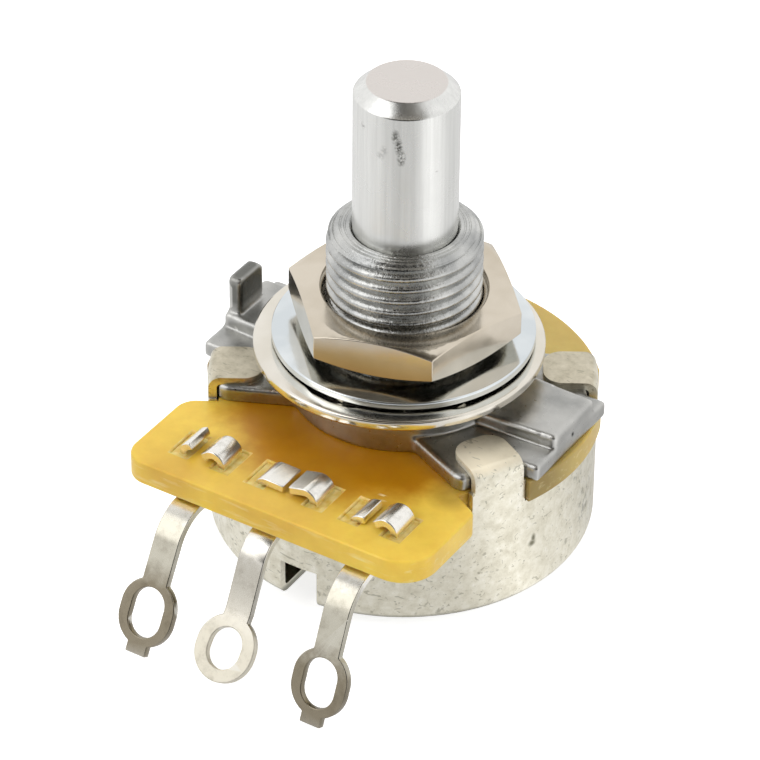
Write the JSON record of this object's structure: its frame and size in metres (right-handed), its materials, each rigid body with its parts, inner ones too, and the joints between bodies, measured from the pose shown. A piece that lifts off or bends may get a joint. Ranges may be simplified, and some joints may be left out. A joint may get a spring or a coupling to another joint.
{
  "type": "rotary potentiometer",
  "caption": "Panel potentiometer with a round solid shaft, threaded bushing with nut and washers, drawn metal can, amber wafer and eyelet terminals.",
  "frame": {"origin": "centre of the can's back face, on the shaft's axis", "axes": "+Z along the shaft towards its free end; the terminals leave towards -Y and their row runs along X"},
  "size_m": [0.0244, 0.033, 0.0319],
  "materials": {
    "can": "tin-plated drawn steel, satin with fine specks",
    "wafer": "amber laminate, satin",
    "carbon": "printed carbon film, matt",
    "terminal": "tinned sheet brass, satin",
    "casting": "die-cast zinc, as cast and satin",
    "lock_washer": "nickel-plated steel, bright",
    "flat_washer": "bright blue-white zinc plate",
    "nut": "warm nickel plate, satin",
    "shaft": "turned aluminium with drawn streaks",
    "clip": "oiled spring steel",
    "rotor": "moulded natural plastic",
    "wiper": "spring bronze sheet"
  },
  "bodies": {
    "housing": {"rear_cover": "can", "wafer": "wafer", "resistance_track": "carbon", "terminal_left": "terminal", "terminal_middle": "terminal", "terminal_right": "terminal", "bushing_plate": "casting", "lock_washer": "lock_washer", "flat_washer": "flat_washer", "hex_nut": "nut"},
    "rotor": {"shaft": "shaft", "retaining_ring": "clip", "rotor": "rotor", "wiper_contact": "wiper"}
  },
  "joints": [
    {"name": "shaft_turn", "type": "hinge", "parent": "housing", "child": "rotor", "pos_m": [0, 0, 0.02], "axis": [0, 0, 1], "range_deg": [-150, 150]}
  ]
}
